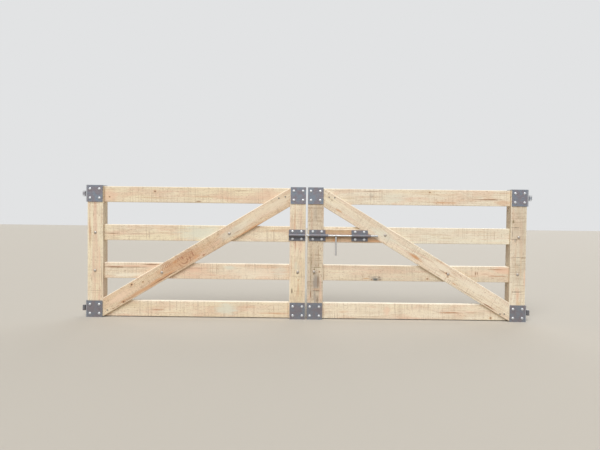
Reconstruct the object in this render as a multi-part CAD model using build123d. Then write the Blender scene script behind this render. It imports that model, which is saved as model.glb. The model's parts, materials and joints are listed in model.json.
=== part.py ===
from build123d import *
import os
from math import asin, atan2, cos, hypot, tan

# A pair of timber field gates with a slide bolt between them.
# X runs across the opening from the left leaf to the right leaf, +Y away from the bolt's side, +Z up.
# The origin is the foot of the left leaf's bottom hinge pin, on the hinge's axis.
# All sizes are in millimetres.

# Timber sections
stile_width = 150.0
stile_depth = 100.0
rail_height = 150.0
rail_thickness = 50.0
brace_width = 150.0
brace_thickness = 22.0
arris = 3.0

# Leaf
clear_width = 1770.0
rail_count = 4
rail_gap = 213.0
leaf_gap = 20.0

# Mortise and tenon joints
tenon_length = 110.0
tenon_thickness = 30.0
tenon_shoulder = 20.0
mortise_play = 0.3
mortise_end_room = 0.5

# Corner brackets, folded over the ends of the stiles
cheek_width = 145.0
cheek_thickness = 6.0
cap_thickness = 8.0
side_plate_thickness = 10.0
cheek_corner_radius = 5.0

# Bolts that clamp each bracket's cheeks, and their nuts behind
bracket_bolt_edge = 27.0
bracket_bolt_pitch_across = 88.0
bracket_bolt_pitch_up = 86.0
nut_width = 19.0
nut_height = 10.8

# Hinge eyes and pins
eye_offset = 41.0
eye_height = 48.0
eye_wall = 4.4
pin_radius = 12.5
pin_clearance = 0.1
pin_standout = 2.0
pin_chamfer = 1.0
arm_thickness = 12.0
arm_height = 40.0

# Slide bolt: the rod, its handle and the tubes that it runs in
rod_radius = 10.0
rod_play = 0.85
rod_chamfer = 3.0
tube_wall = 2.6
bolt_plate_length = 155.0
bolt_plate_height = 105.0
bolt_plate_thickness = 6.0
bolt_plate_corner = 3.0
barrel_tube_overhang = 25.0
bolt_drop = 8.0
keeper_edge = 4.0
barrel_1_edge = 13.0
barrel_spacing = 401.0
rod_tail = 8.0
rod_engagement = 50.0
rod_drawn_clearance = 6.5
handle_radius = 9.0
handle_length = 188.0
handle_end_clearance = 4.0
handle_weld_clearance = 0.3
handle_tip_round = 3.0

# Packer between the right meeting stile and the brace, behind the bolt
packer_height = 120.0

# Worked out from the sizes above
front_y = -stile_depth / 2
back_y = stile_depth / 2
rail_front_y = front_y + brace_thickness
rail_middle_y = rail_front_y + rail_thickness / 2
rail_pitch = rail_height + rail_gap
timber_height = rail_count * rail_height + (rail_count - 1) * rail_gap

side_plate_x = eye_offset
outer_stile_x = side_plate_x + side_plate_thickness
inner_stile_x = outer_stile_x + stile_width
meeting_stile_x = inner_stile_x + clear_width
meeting_edge_x = meeting_stile_x + stile_width
middle_x = meeting_edge_x + leaf_gap / 2

bracket_middle = (rail_height + cap_thickness) / 2
pin_length = eye_height + 2 * pin_standout
ground_z = pin_length / 2 - bracket_middle
timber_bottom_z = ground_z + cap_thickness
timber_top_z = timber_bottom_z + timber_height
bottom_eye_z = ground_z + bracket_middle
top_eye_z = timber_top_z + cap_thickness - bracket_middle

eye_bore = pin_radius + pin_clearance
eye_radius = eye_bore + eye_wall

tube_bore = rod_radius + rod_play
tube_radius = tube_bore + tube_wall
bolt_y = front_y - bolt_plate_thickness - tube_radius
rail_middles_z = [timber_top_z - rail_height / 2 - i * rail_pitch for i in range(rail_count)]
bolt_z = rail_middles_z[1] - bolt_drop
keeper_x = meeting_edge_x - keeper_edge - bolt_plate_length
barrel_1_x = middle_x + leaf_gap / 2 + barrel_1_edge
barrel_2_x = barrel_1_x + barrel_spacing
barrel_tube_length = bolt_plate_length + barrel_tube_overhang
rod_tip_x = meeting_edge_x + rod_drawn_clearance
rod_shot_tip_x = meeting_edge_x - keeper_edge - rod_engagement
rod_travel_to_shot = rod_tip_x - rod_shot_tip_x
rod_tail_x = barrel_2_x + barrel_tube_length + rod_tail + rod_travel_to_shot
handle_x = barrel_1_x + barrel_tube_length + handle_end_clearance + handle_radius + rod_travel_to_shot


def block(x, y, z):
    """A box from its low and high ends along each axis."""
    size = (x[1] - x[0], y[1] - y[0], z[1] - z[0])
    return Pos(x[0], y[0], z[0]) * Box(*size, align=(Align.MIN, Align.MIN, Align.MIN))


def sawn_board(x, y, z, along):
    """A board whose long edges have small planed arrises."""
    board = block(x, y, z)
    return chamfer(board.edges().filter_by(along), arris)


def tenon_heights(rail):
    """Low and high end of a rail's tenon: a corner tenon runs out at the stile's end."""
    low = rail_middles_z[rail] - rail_height / 2
    high = rail_middles_z[rail] + rail_height / 2
    if rail > 0:
        high -= tenon_shoulder
    if rail < rail_count - 1:
        low += tenon_shoulder
    return low, high


def rail(index):
    """One rail with a stopped tenon at each end."""
    middle = rail_middles_z[index]
    board = sawn_board(
        (inner_stile_x, meeting_stile_x),
        (rail_front_y, rail_front_y + rail_thickness),
        (middle - rail_height / 2, middle + rail_height / 2),
        Axis.X,
    )
    tenon = block(
        (inner_stile_x - tenon_length, meeting_stile_x + tenon_length),
        (rail_middle_y - tenon_thickness / 2, rail_middle_y + tenon_thickness / 2),
        tenon_heights(index),
    )
    return board + tenon


def stile(low_x, mortise_x):
    """A stile with a mortise for each rail, open at the two ends of the stile."""
    post = sawn_board(
        (low_x, low_x + stile_width),
        (front_y, back_y),
        (timber_bottom_z, timber_top_z),
        Axis.Z,
    )
    for index in range(rail_count):
        low, high = tenon_heights(index)
        above = stile_depth if index == 0 else mortise_play
        below = stile_depth if index == rail_count - 1 else mortise_play
        post -= block(
            mortise_x,
            (
                rail_middle_y - tenon_thickness / 2 - mortise_play,
                rail_middle_y + tenon_thickness / 2 + mortise_play,
            ),
            (low - below, high + above),
        )
    return post


def outer_stile():
    mouth = (inner_stile_x - tenon_length - mortise_end_room, inner_stile_x + stile_width)
    return stile(outer_stile_x, mouth)


def meeting_stile():
    mouth = (meeting_stile_x - stile_width, meeting_stile_x + tenon_length + mortise_end_room)
    return stile(meeting_stile_x, mouth)


def brace_angle():
    """Slope at which the brace fills the leaf from corner to corner with upright end cuts."""
    diagonal = hypot(clear_width, timber_height)
    return atan2(timber_height, clear_width) - asin(brace_width / diagonal)


def brace():
    """The diagonal board in front of the rails, from the outer foot to the meeting stile's top."""
    end_cut = brace_width / cos(brace_angle())
    outline = Polyline(
        (inner_stile_x, timber_bottom_z),
        (meeting_stile_x, timber_top_z - end_cut),
        (meeting_stile_x, timber_top_z),
        (inner_stile_x, timber_bottom_z + end_cut),
        close=True,
    )
    board = extrude(Plane.XZ.offset(-rail_front_y) * make_face(outline), amount=brace_thickness)
    front_edges = board.faces().sort_by(Axis.Y)[0].edges()
    sloping = [edge for edge in front_edges if abs((edge @ 1 - edge @ 0).X) > arris]
    return chamfer(sloping, arris)


def bracket_at_bottom(low_x, high_x, side_x):
    """A fabricated cap: two cheeks, a foot plate and, where side_x is given, a side plate."""
    deep = (front_y - cheek_thickness, back_y + cheek_thickness)
    top = timber_bottom_z + rail_height
    bracket = block((low_x, high_x), deep, (ground_z, timber_bottom_z))
    for y in ((deep[0], front_y), (back_y, deep[1])):
        cheek = block((low_x, high_x), y, (ground_z, top))
        corners = cheek.edges().filter_by(Axis.Y).group_by(Axis.Z)[-1]
        bracket += fillet(corners, cheek_corner_radius)
    if side_x is not None:
        bracket += block(side_x, deep, (ground_z, top))
    return bracket


def to_top(shape):
    """The same bracket turned over for the upper corner."""
    return mirror(shape, about=Plane.XY.offset((timber_bottom_z + timber_top_z) / 2))


def outer_bracket():
    return bracket_at_bottom(
        outer_stile_x, outer_stile_x + cheek_width, (side_plate_x, outer_stile_x)
    )


def meeting_bracket():
    return bracket_at_bottom(meeting_edge_x - cheek_width, meeting_edge_x, None)


def bracket_nuts():
    """The nuts on the backs of a leaf's four brackets, each with a corner to either side."""
    to_middle = bracket_bolt_edge + bracket_bolt_pitch_across / 2
    nuts = []
    for x in (outer_stile_x + to_middle, meeting_edge_x - to_middle):
        for z in (bottom_eye_z, top_eye_z):
            back = Plane((x, back_y + cheek_thickness, z), x_dir=(1, 0, 0), z_dir=(0, 1, 0))
            for place in GridLocations(bracket_bolt_pitch_across, bracket_bolt_pitch_up, 2, 2):
                hexagon = RegularPolygon(nut_width / 2, 6, major_radius=False)
                nuts.append(extrude(back * place * hexagon, amount=nut_height))
    return Compound(children=nuts)


def hinge_eye(middle_z):
    """A short tube on a flat arm that stands off the outer bracket's side plate."""
    arm = block(
        (0.0, side_plate_x),
        (-arm_thickness / 2, arm_thickness / 2),
        (middle_z - arm_height / 2, middle_z + arm_height / 2),
    )
    start = Plane.XY.offset(middle_z - eye_height / 2)
    eye = extrude(start * Circle(eye_radius), amount=eye_height) + arm
    return eye - extrude(start * Circle(eye_bore), amount=eye_height)


def hinge_pin(middle_z):
    start = Plane.XY.offset(middle_z - pin_length / 2)
    pin = extrude(start * Circle(pin_radius), amount=pin_length)
    return chamfer(pin.edges().filter_by(GeomType.CIRCLE), pin_chamfer)


def to_right(shape):
    """The mirror image of a piece, for the right leaf."""
    return mirror(shape, about=Plane.YZ.offset(middle_x))


def bolt_plate(low_x, tube_length):
    """A flat plate with a round tube welded along its middle, for the bolt's rod."""
    plate = block(
        (low_x, low_x + bolt_plate_length),
        (front_y - bolt_plate_thickness, front_y),
        (bolt_z - bolt_plate_height / 2, bolt_z + bolt_plate_height / 2),
    )
    plate = fillet(plate.edges().filter_by(Axis.Y), bolt_plate_corner)
    seat = block(
        (low_x, low_x + bolt_plate_length),
        (bolt_y, front_y - bolt_plate_thickness),
        (bolt_z - tube_wall, bolt_z + tube_wall),
    )
    start = Plane((low_x, bolt_y, bolt_z), x_dir=(0, 1, 0), z_dir=(1, 0, 0))
    tube = extrude(start * Circle(tube_radius), amount=tube_length)
    bore = extrude(start * Circle(tube_bore), amount=tube_length)
    return plate + seat + tube - bore


def packer():
    """The board that brings the rail out to the bolt's plane, cut to the brace's lower edge."""
    slope = tan(brace_angle())
    stile_x = middle_x + leaf_gap / 2 + stile_width
    brace_low_z = timber_top_z - brace_width / cos(brace_angle())
    low_z = bolt_z - packer_height / 2
    high_z = bolt_z + packer_height / 2
    outline = Polyline(
        (stile_x, low_z),
        (stile_x + (brace_low_z - low_z) / slope, low_z),
        (stile_x + (brace_low_z - high_z) / slope, high_z),
        (stile_x, high_z),
        close=True,
    )
    return extrude(Plane.XZ.offset(-rail_front_y) * make_face(outline), amount=brace_thickness)


def rod():
    start = Plane((rod_tip_x, bolt_y, bolt_z), x_dir=(0, 1, 0), z_dir=(1, 0, 0))
    bar = extrude(start * Circle(rod_radius), amount=rod_tail_x - rod_tip_x)
    return chamfer(bar.edges().filter_by(GeomType.CIRCLE), rod_chamfer)


def handle():
    """A round bar that hangs from the rod, its top end cut hollow to the rod."""
    start = Plane.XY.offset(bolt_z - handle_length) * Pos(handle_x, bolt_y)
    bar = extrude(start * Circle(handle_radius), amount=handle_length)
    bar = fillet(bar.edges().sort_by(Axis.Z)[0], handle_tip_round)
    rod_line = Plane(
        (handle_x - 2 * handle_radius, bolt_y, bolt_z), x_dir=(0, 1, 0), z_dir=(1, 0, 0)
    )
    room = extrude(
        rod_line * Circle(rod_radius + handle_weld_clearance), amount=4 * handle_radius
    )
    return bar - room


def leaf_pieces():
    """Every piece that both leaves have, as it stands on the left leaf."""
    pieces = {
        "outer_stile": outer_stile(),
        "meeting_stile": meeting_stile(),
        "brace": brace(),
        "outer_bottom_bracket": outer_bracket(),
        "outer_top_bracket": to_top(outer_bracket()),
        "meeting_bottom_bracket": meeting_bracket(),
        "meeting_top_bracket": to_top(meeting_bracket()),
        "bracket_nuts": bracket_nuts(),
        "bottom_hinge_eye": hinge_eye(bottom_eye_z),
        "top_hinge_eye": hinge_eye(top_eye_z),
        "bottom_hinge_pin": hinge_pin(bottom_eye_z),
        "top_hinge_pin": hinge_pin(top_eye_z),
    }
    for index in range(rail_count):
        pieces[f"rail_{index + 1}"] = rail(index)
    return pieces


nodes = {}
for name, shape in leaf_pieces().items():
    nodes[f"left_{name}"] = shape
    nodes[f"right_{name}"] = to_right(shape)
nodes["bolt_keeper"] = bolt_plate(keeper_x, bolt_plate_length)
nodes["bolt_barrel_1"] = bolt_plate(barrel_1_x, barrel_tube_length)
nodes["bolt_barrel_2"] = bolt_plate(barrel_2_x, barrel_tube_length)
nodes["bolt_packer"] = packer()
nodes["bolt_rod"] = rod()
nodes["bolt_handle"] = handle()

os.makedirs("parts", exist_ok=True)
for name, shape in nodes.items():
    export_step(shape, f"parts/{name}.step")

print(f"leaf width {meeting_edge_x - side_plate_x:.1f}, height {timber_height + 2 * cap_thickness:.1f}")
print(f"ground at z {ground_z:.2f}, right hinge axis at x {2 * middle_x:.2f}")
print(f"bolt axis y {bolt_y:.3f}, z {bolt_z:.3f}, travel to shot {rod_travel_to_shot:.2f}")
print(f"handle x {handle_x:.3f}, room to the second barrel {barrel_2_x - handle_x - handle_radius:.2f}")
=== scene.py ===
# %% [markdown]
# # A pair of timber field gates with a slide bolt
#
# Two leaves of freshly sawn hardwood close a wide opening. Each one has two stiles, four rails
# housed in them, a diagonal brace, and welded steel brackets over its corners. A slide bolt of
# round bar, running in short welded tubes, holds the leaves together.
#
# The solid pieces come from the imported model, and are never moved or changed here. This lesson
# gives them their finish, and adds what is too small for the solid model: bolt heads, nuts,
# washers and weld beads.

import json
from collections import namedtuple
from math import atan2, asin, cos, hypot, pi, radians, sin, sqrt

import bpy
from mathutils import Matrix, Vector

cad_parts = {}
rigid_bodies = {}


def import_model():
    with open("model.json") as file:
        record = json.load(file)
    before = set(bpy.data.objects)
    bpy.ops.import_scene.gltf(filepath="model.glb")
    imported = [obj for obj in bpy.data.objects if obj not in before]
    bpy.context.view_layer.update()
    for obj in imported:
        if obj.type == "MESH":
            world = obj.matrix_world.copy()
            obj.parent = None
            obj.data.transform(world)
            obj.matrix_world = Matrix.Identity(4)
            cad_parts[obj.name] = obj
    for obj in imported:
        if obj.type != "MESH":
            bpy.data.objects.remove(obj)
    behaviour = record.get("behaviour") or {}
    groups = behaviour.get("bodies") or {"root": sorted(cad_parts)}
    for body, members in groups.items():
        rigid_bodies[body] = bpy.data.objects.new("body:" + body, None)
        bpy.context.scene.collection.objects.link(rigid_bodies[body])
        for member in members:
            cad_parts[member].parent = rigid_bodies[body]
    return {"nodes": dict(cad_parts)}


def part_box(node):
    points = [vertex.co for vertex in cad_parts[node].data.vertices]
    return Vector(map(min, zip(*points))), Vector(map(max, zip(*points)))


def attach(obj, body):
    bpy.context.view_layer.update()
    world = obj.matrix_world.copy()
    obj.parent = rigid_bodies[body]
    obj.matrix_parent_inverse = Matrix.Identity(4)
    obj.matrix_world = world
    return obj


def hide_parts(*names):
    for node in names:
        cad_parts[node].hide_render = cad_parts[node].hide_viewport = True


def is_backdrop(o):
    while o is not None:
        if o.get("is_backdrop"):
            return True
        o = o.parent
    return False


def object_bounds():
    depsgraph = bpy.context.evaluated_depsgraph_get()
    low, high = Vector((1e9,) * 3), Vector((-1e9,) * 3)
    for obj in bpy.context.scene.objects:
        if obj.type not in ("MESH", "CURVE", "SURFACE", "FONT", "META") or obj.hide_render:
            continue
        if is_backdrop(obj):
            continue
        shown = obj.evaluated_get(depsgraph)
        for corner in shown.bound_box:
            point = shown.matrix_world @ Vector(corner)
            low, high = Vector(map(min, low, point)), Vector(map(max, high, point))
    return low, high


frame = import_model()
nodes = frame["nodes"]
cad_low, cad_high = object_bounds()
cad_size = cad_high - cad_low
print(f"{len(nodes)} solid pieces, {cad_size.x:.3f} m wide and {cad_size.z:.3f} m tall")

# %% [markdown]
# ## Writing node trees as sums
#
# A surface finish in Blender is a tree of small nodes. Wired up one by one, even a simple
# sum takes a page. So one small class stands for the wire that leaves a node, and Python's own
# operators on it add the Math nodes: `1 - mask * 0.4` reads like the sum that it is. Every other
# node comes from one method, which takes the node's type, its sockets and its settings.

# %% A wire that can be added and multiplied
def math_node(operation, reflected=False):
    """A method that adds one Math node. In its reflected form the wire comes second."""

    def method(self, other=0.0):
        first, second = (other, self) if reflected else (self, other)
        return self.tree.node("ShaderNodeMath", {0: first, 1: second}, operation=operation)

    return method


class Wire:
    """One output of a node. Sums of wires and numbers add Math nodes to the wire's tree."""

    __add__, __radd__ = math_node("ADD"), math_node("ADD", reflected=True)
    __sub__, __rsub__ = math_node("SUBTRACT"), math_node("SUBTRACT", reflected=True)
    __mul__, __rmul__ = math_node("MULTIPLY"), math_node("MULTIPLY", reflected=True)
    __truediv__, __rtruediv__ = math_node("DIVIDE"), math_node("DIVIDE", reflected=True)
    __pow__, __rpow__ = math_node("POWER"), math_node("POWER", reflected=True)
    most = math_node("MAXIMUM")
    size = math_node("ABSOLUTE")
    wave = math_node("SINE")
    fraction = math_node("FRACT")

    def __init__(self, tree, socket):
        self.tree = tree
        self.socket = socket

    def __neg__(self):
        return self * -1.0

    def rise(self, low, high):
        """0 up to low, 1 from high on, and a smooth slope between them."""
        sockets = {"Value": self, "From Min": low, "From Max": high}
        return self.tree.node("ShaderNodeMapRange", sockets, interpolation_type="SMOOTHSTEP", clamp=True)

# %% A tree that makes any node
MIX_SHARE, MIX_FIRST, MIX_SECOND, MIX_COLOUR = 0, 6, 7, 2


class Tree:
    """A node tree and the one method that adds nodes to it."""

    def __init__(self, data):
        self.data = data

    def node(self, kind, sockets=(), output=0, **settings):
        made = self.data.nodes.new(kind)
        for key, value in settings.items():
            setattr(made, key, value)
        for key, value in dict(sockets).items():
            if isinstance(value, Wire):
                self.data.links.new(value.socket, made.inputs[key])
            else:
                made.inputs[key].default_value = value
        return Wire(self, made.outputs[output]) if made.outputs else made

    def place(self):
        """A point's own place on its piece, in metres: its Object coordinates."""
        return self.node("ShaderNodeTexCoord", output="Object")

    def vector(self, operation, first, second):
        output = "Value" if operation == "DOT_PRODUCT" else "Vector"
        return self.node("ShaderNodeVectorMath", {0: first, 1: second}, output, operation=operation)

    def joined(self, x, y, z):
        return self.node("ShaderNodeCombineXYZ", {"X": x, "Y": y, "Z": z})

    def parted(self, vector):
        first = self.node("ShaderNodeSeparateXYZ", {"Vector": vector})
        return [Wire(self, socket) for socket in first.socket.node.outputs]

    def layered(self, colour, layers):
        """Tones laid over a colour one after another, each as strongly as its share says."""
        for share, tone in layers:
            sockets = {MIX_SHARE: share, MIX_FIRST: colour, MIX_SECOND: tone}
            colour = self.node("ShaderNodeMix", sockets, MIX_COLOUR, data_type="RGBA")
        return colour

    def tint(self, sockets, *layers):
        """Lays more tones over a finish that is already made."""
        sockets["Base Color"] = self.layered(sockets["Base Color"], layers)

    def noise(self, place, detail=2.0, roughness=0.5):
        """Clouds of about one unit across, mostly between 0.3 and 0.7."""
        sockets = {"Vector": place, "Scale": 1.0, "Detail": detail, "Roughness": roughness}
        return self.node("ShaderNodeTexNoise", sockets)

    def bump(self, height, strength, distance):
        """A normal tilted by a height; the distance is the real depth of a height of 1."""
        sockets = {"Height": height, "Strength": strength, "Distance": distance}
        return self.node("ShaderNodeBump", sockets)

# %% Colours, finishes and coats
def paint(red, green, blue):
    """A colour as a picture editor gives it, 0 to 255, turned into the renderer's own numbers."""
    knee, slope, lift, power = 0.04045, 12.92, 0.055, 2.4
    parts = [value / 255 for value in (red, green, blue)]
    linear = [part / slope if part <= knee else ((part + lift) / (1 + lift)) ** power for part in parts]
    return (*linear, 1.0)


def finish(name, build):
    """A new material. build(tree) gives the sockets of its Principled shader."""
    material = bpy.data.materials.new(name)
    material.use_nodes = True
    material.node_tree.nodes.clear()
    tree = Tree(material.node_tree)
    shader = tree.node("ShaderNodeBsdfPrincipled", build(tree))
    tree.node("ShaderNodeOutputMaterial", {"Surface": shader})
    print(f"{name}: {len(material.node_tree.nodes)} nodes")
    return material


def coat(node, material):
    """Gives a solid piece its finish by its own material slots."""
    for slot in nodes[node].material_slots:
        slot.material = material

# %% [markdown]
# ## The camera
#
# The picture to match was taken from about 4.3 m in front of the gates, at chest height, with
# a short lens. The camera stands there, almost square to them: turned a little to the left,
# tipped a little down, and rolled a touch, as a hand-held one is.

# %% Place the camera
def into_scene(name, data):
    """A new object that holds the data, linked to the scene."""
    made = bpy.data.objects.new(name, data)
    bpy.context.scene.collection.objects.link(made)
    return made


eye_point = Vector((2.078, -4.311, 0.943))
turned_left, tipped_down, rolled = 0.15, 1.32, 0.65

camera = into_scene("camera", bpy.data.cameras.new("camera"))
camera.data.lens = 27.0
camera.data.sensor_width = 36.0
turn = Matrix.Rotation(radians(turned_left), 4, "Z")
tip = Matrix.Rotation(radians(90 - tipped_down), 4, "X")
roll = Matrix.Rotation(radians(rolled), 4, "Z")
camera.matrix_world = Matrix.Translation(eye_point) @ turn @ tip @ roll
bpy.context.scene.camera = camera
print(f"camera {-eye_point.y:.2f} m in front of the hinges, {eye_point.z - cad_low.z:.2f} m up")

# %% [markdown]
# ## The studio
#
# The gates stand on a plain pale floor under soft light: a wide lamp high in front, as open sky
# would be, a weaker one behind so that the backs read too, and an even glow from all around. Both
# lamps are far off, so a gate's foot is as bright as its head.
#
# The glow and the pale backdrop are two backgrounds. Light Path tells a ray from the camera, or
# off something shiny, from the rest: so the backdrop is seen, while the glow lights the timber.

# %% Floor
def mesh_object(name, points, edges=(), faces=()):
    """A new object with a mesh of these points, edges and faces."""
    mesh = bpy.data.meshes.new(name)
    mesh.from_pydata(points, edges, faces)
    return into_scene(name, mesh)


def floor_finish(tree):
    return {"Base Color": paint(190, 183, 172), "Roughness": 0.9}


floor_half = 30.0
square = [(-1, -1), (1, -1), (1, 1), (-1, 1)]
floor_points = [(x * floor_half, y * floor_half, cad_low.z) for x, y in square]
floor = mesh_object("floor", floor_points, faces=[(0, 1, 2, 3)])
floor.data.materials.append(finish("floor_pale", floor_finish))
floor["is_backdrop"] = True
print(f"floor at {cad_low.z:.3f} m")

# %% Lamps
def soft_lamp(name, bearing, height, softness, strength):
    """A wide far lamp, so that every part of the gates gets the same light."""
    lamp = into_scene(name, bpy.data.lights.new(name, "SUN"))
    lamp.data.angle = radians(softness)
    lamp.data.energy = strength
    lamp.rotation_euler = (radians(90 - height), 0.0, radians(bearing))
    print(f"{name}: strength {strength} at {height} degrees up")


soft_lamp("sky_lamp", -14.0, 51.0, 45.0, 3.02)
soft_lamp("back_lamp", 160.0, 22.0, 60.0, 1.3)

# %% Backdrop and glow
world = bpy.data.worlds.new("studio")
bpy.context.scene.world = world
world.use_nodes = True
world.node_tree.nodes.clear()
sky = Tree(world.node_tree)
glow = sky.node("ShaderNodeBackground", {"Color": paint(246, 252, 255), "Strength": 0.27})
backdrop = sky.node("ShaderNodeBackground", {"Color": paint(226, 227, 228), "Strength": 1.0})
rays = sky.node("ShaderNodeLightPath").socket.node.outputs
seen = 0.0
for kind in ("Is Camera Ray", "Is Glossy Ray", "Is Transmission Ray"):
    seen = Wire(sky, rays[kind]).most(seen)
both = sky.node("ShaderNodeMixShader", {0: seen, 1: glow, 2: backdrop})
sky.node("ShaderNodeOutputWorld", {"Surface": both})

view = bpy.context.scene.view_settings
view.view_transform = "Standard"
print("view transform", view.view_transform)

# %% [markdown]
# ## Sawn hardwood
#
# Every board was cut from its own log, so no two look alike: one is straw, the next is pink or
# greenish, with its own streaks and knots. What they share is the wood's build. Fibres run along
# the board, so every cloud of colour is drawn out that way, and the saw left lines across it.
#
# One recipe serves them all. It measures a point's place along the board and across it, and
# stretches its noises along the first. The growth rings are cylinders round the tree's pith,
# which lay beside the board or behind it: cut through, they show as lines or as long flames.
# Each board then brings its own two tones, a seed, and a short list of marks: stains, streaks,
# knots and swirls, and on a few boards a painted shadow below a bolt head or the bolt's rod.
# Round a knot the grain bends, because the wood grew round a branch. The recipe gets that by
# squeezing the across-measure near each knot.

# %% Which way each board runs
Board = namedtuple("Board", "middle along across width")


def middle_of(node):
    low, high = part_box(node)
    return (low + high) / 2


def straight_board(node, along, across):
    low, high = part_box(node)
    return Board(middle_of(node), along, across, (high - low).dot(across))


def brace_board(node, rises_right):
    """The brace's slope, worked out from its box and its width as a board."""
    low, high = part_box(node)
    width, height = high.x - low.x, high.z - low.z
    slope = atan2(height, width) - asin(brace_width / hypot(width, height))
    side = 1.0 if rises_right else -1.0
    along = Vector((cos(slope), 0.0, side * sin(slope)))
    across = Vector((-side * sin(slope), 0.0, cos(slope)))
    return Board(middle_of(node), along, across, brace_width)


brace_width = 0.15
x_axis, y_axis, z_axis = Matrix.Identity(3)
boards = {}
for node in nodes:
    if "rail" in node or "packer" in node:
        boards[node] = straight_board(node, x_axis, z_axis)
    elif "stile" in node:
        boards[node] = straight_board(node, z_axis, x_axis)
    elif "brace" in node:
        boards[node] = brace_board(node, node.startswith("left"))
print(len(boards), "boards")

# %% Where single bolts and screws go into stiles and braces, as x and z
stile_bolts = {
    "left": [(0.126, 0.754), (0.123, 0.392), (2.05, 0.4)],
    "right": [(2.204, 0.4035), (4.138, 0.752), (4.134, 0.399)],
}
brace_bolts = {
    "left": [(1.397, 0.757), (0.759, 0.38)],
    "right": [(2.8745, 0.758), (3.477, 0.395)],
}
brace_screws = {
    "left": [(1.864, 1.096), (1.9255, 1.11), (0.24, 0.014)],
    "right": [(2.34, 1.11), (2.393, 1.107), (3.976, 0.02), (4.017, 0.02)],
}

# %% Tones of the timber and of its marks
CREAM = paint(238, 224, 199)
STRAW = paint(232, 215, 181)
BUTTER = paint(241, 228, 196)
OATMEAL = paint(229, 213, 188)
PALE_GREEN = paint(217, 216, 199)
BISCUIT = paint(216, 192, 158)
PINK = paint(228, 192, 165)
ROSE = paint(221, 178, 156)
TAN = paint(205, 183, 155)
ORANGE = paint(200, 146, 100)
SIENNA = paint(202, 158, 120)
RUSSET = paint(180, 130, 98)
BURR = paint(166, 116, 86)
BROWN = paint(146, 106, 76)
UMBER = paint(88, 64, 50)
OLIVE = paint(132, 116, 82)
WEATHERED = paint(158, 147, 136)
KERF = paint(168, 143, 118)
# the next tone is the colour of the painted highlights on the arrises
HIGHLIGHT_CREAM = paint(249, 238, 218)
MILK = paint(238, 227, 205)
PEACH = paint(232, 203, 176)
DRIFT = paint(222, 209, 185)
ASH = paint(210, 196, 174)
SILVER = paint(122, 116, 108)
SLATE = paint(90, 94, 92)
# the next tone serves stains, and the painted shadow in the rings below bolt heads
BRUISE_AND_SHADOW = paint(150, 128, 106)

# %% A board's measures and its noises
seed_stride = 7.3
bend_length, bend_width, bend_share = 14, 7, 0.75


class Grain:
    """A board's own measures: u along it, v across it, w into it. Its noises are drawn out along u."""

    def __init__(self, tree, board, seed, knots):
        away = tree.vector("SUBTRACT", tree.place(), board.middle)
        self.tree, self.board, self.seed = tree, board, seed
        self.u = tree.vector("DOT_PRODUCT", away, board.along)
        self.v = tree.vector("DOT_PRODUCT", away, board.across)
        self.w = tree.vector("DOT_PRODUCT", away, y_axis)
        self.bent = self.v
        for x, z, radius in knots:
            _, across = self.spot(x, z)
            far = self.oval(x, z, radius * bend_length, radius * bend_width)
            self.bent = self.bent - (self.v - across) * (1 - far.rise(0.0, 1.0)) * bend_share
        self.seeded = self.u + seed * seed_stride

    def spot(self, x, z):
        """How far along and across the board a point of the gates' face lies."""
        away = Vector((x, self.board.middle.y, z)) - self.board.middle
        return away.dot(self.board.along), away.dot(self.board.across)

    def oval(self, x, z, length, width):
        """Distance from an oval's middle on the gates' face: 1 on its rim."""
        along, across = self.spot(x, z)
        du = (self.u - along) / (length / 2)
        dv = (self.v - across) / (width / 2)
        return (du * du + dv * dv) ** 0.5

    def noise(self, lengthwise, crosswise, detail=2.0, roughness=0.5):
        place = self.tree.joined(self.seeded * lengthwise, self.bent * crosswise, self.w * crosswise)
        return self.tree.noise(place, detail, roughness)

# %% Growth rings and saw lines
ring_pitch, ring_wander = 0.011, 8.0
pith_away, pith_turn = 0.16, 2.4
fine_saw_pitch, coarse_saw_pitch = 0.01, 0.034


def late_wood_of(grain, clouds):
    """The dark part of each year's ring, round a pith beside the board or behind it."""
    angle = grain.seed * pith_turn
    pith_v, pith_w = pith_away * cos(angle), pith_away * sin(angle)
    rings = ((grain.bent - pith_v) ** 2 + (grain.w - pith_w) ** 2) ** 0.5
    rings = (rings / ring_pitch + clouds * ring_wander).fraction()
    return rings.rise(0.25, 0.92) * rings.rise(1.0, 0.93)


def kerfs_of(grain, slant):
    """Straight lines across the board, at uneven distances of about a fine or a coarse pitch."""
    def lines(pitch, width):
        place = grain.tree.joined((grain.seeded + grain.v * slant) / pitch, grain.w / pitch, grain.seed)
        return 1 - (grain.tree.noise(place, 1.0) - 0.5).size().rise(0.0, width)

    fine = lines(fine_saw_pitch, 0.08) * grain.noise(6.0, 10.0).rise(0.4, 0.62)
    coarse = lines(coarse_saw_pitch, 0.022) * grain.noise(3.0, 13.0).rise(0.4, 0.56)
    return (fine * 0.6).most(coarse)

# %% Painted highlights on the edges, and painted shade on the stiles' flanks
highlight_band = 0.007
flank_from, flank_to = 0.0012, 0.0003
rail_highlights = (0.85, 0.25)
highlight_shares = {"stile": (0.5, 0.55), "brace": (0.95, 0.3)}


def edge_layers(grain, kind):
    """Painted highlights along the arrises, as light from above would make them; how strong the upper and
    the lower ones are depends on the board's kind. Stiles also get painted shade on their side faces.
    """
    half = grain.board.width / 2
    upper_highlight, lower_highlight = highlight_shares.get(kind, rail_highlights)
    upper = grain.v.rise(half - highlight_band, half - highlight_band / 3)
    lower = (-grain.v).rise(half - highlight_band, half - highlight_band / 3)
    # painted highlight along the upper and the lower arris
    rubbed = upper * upper_highlight + lower * lower_highlight
    if kind != "stile":
        return [(rubbed, HIGHLIGHT_CREAM)]
    # painted shade on a stile's side faces, which face away from the light in front
    flank_shade = grain.v.size().rise(half - flank_from, half - flank_to)
    return [(flank_shade * 0.45, TAN), (rubbed * (1 - flank_shade), HIGHLIGHT_CREAM)]

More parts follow.
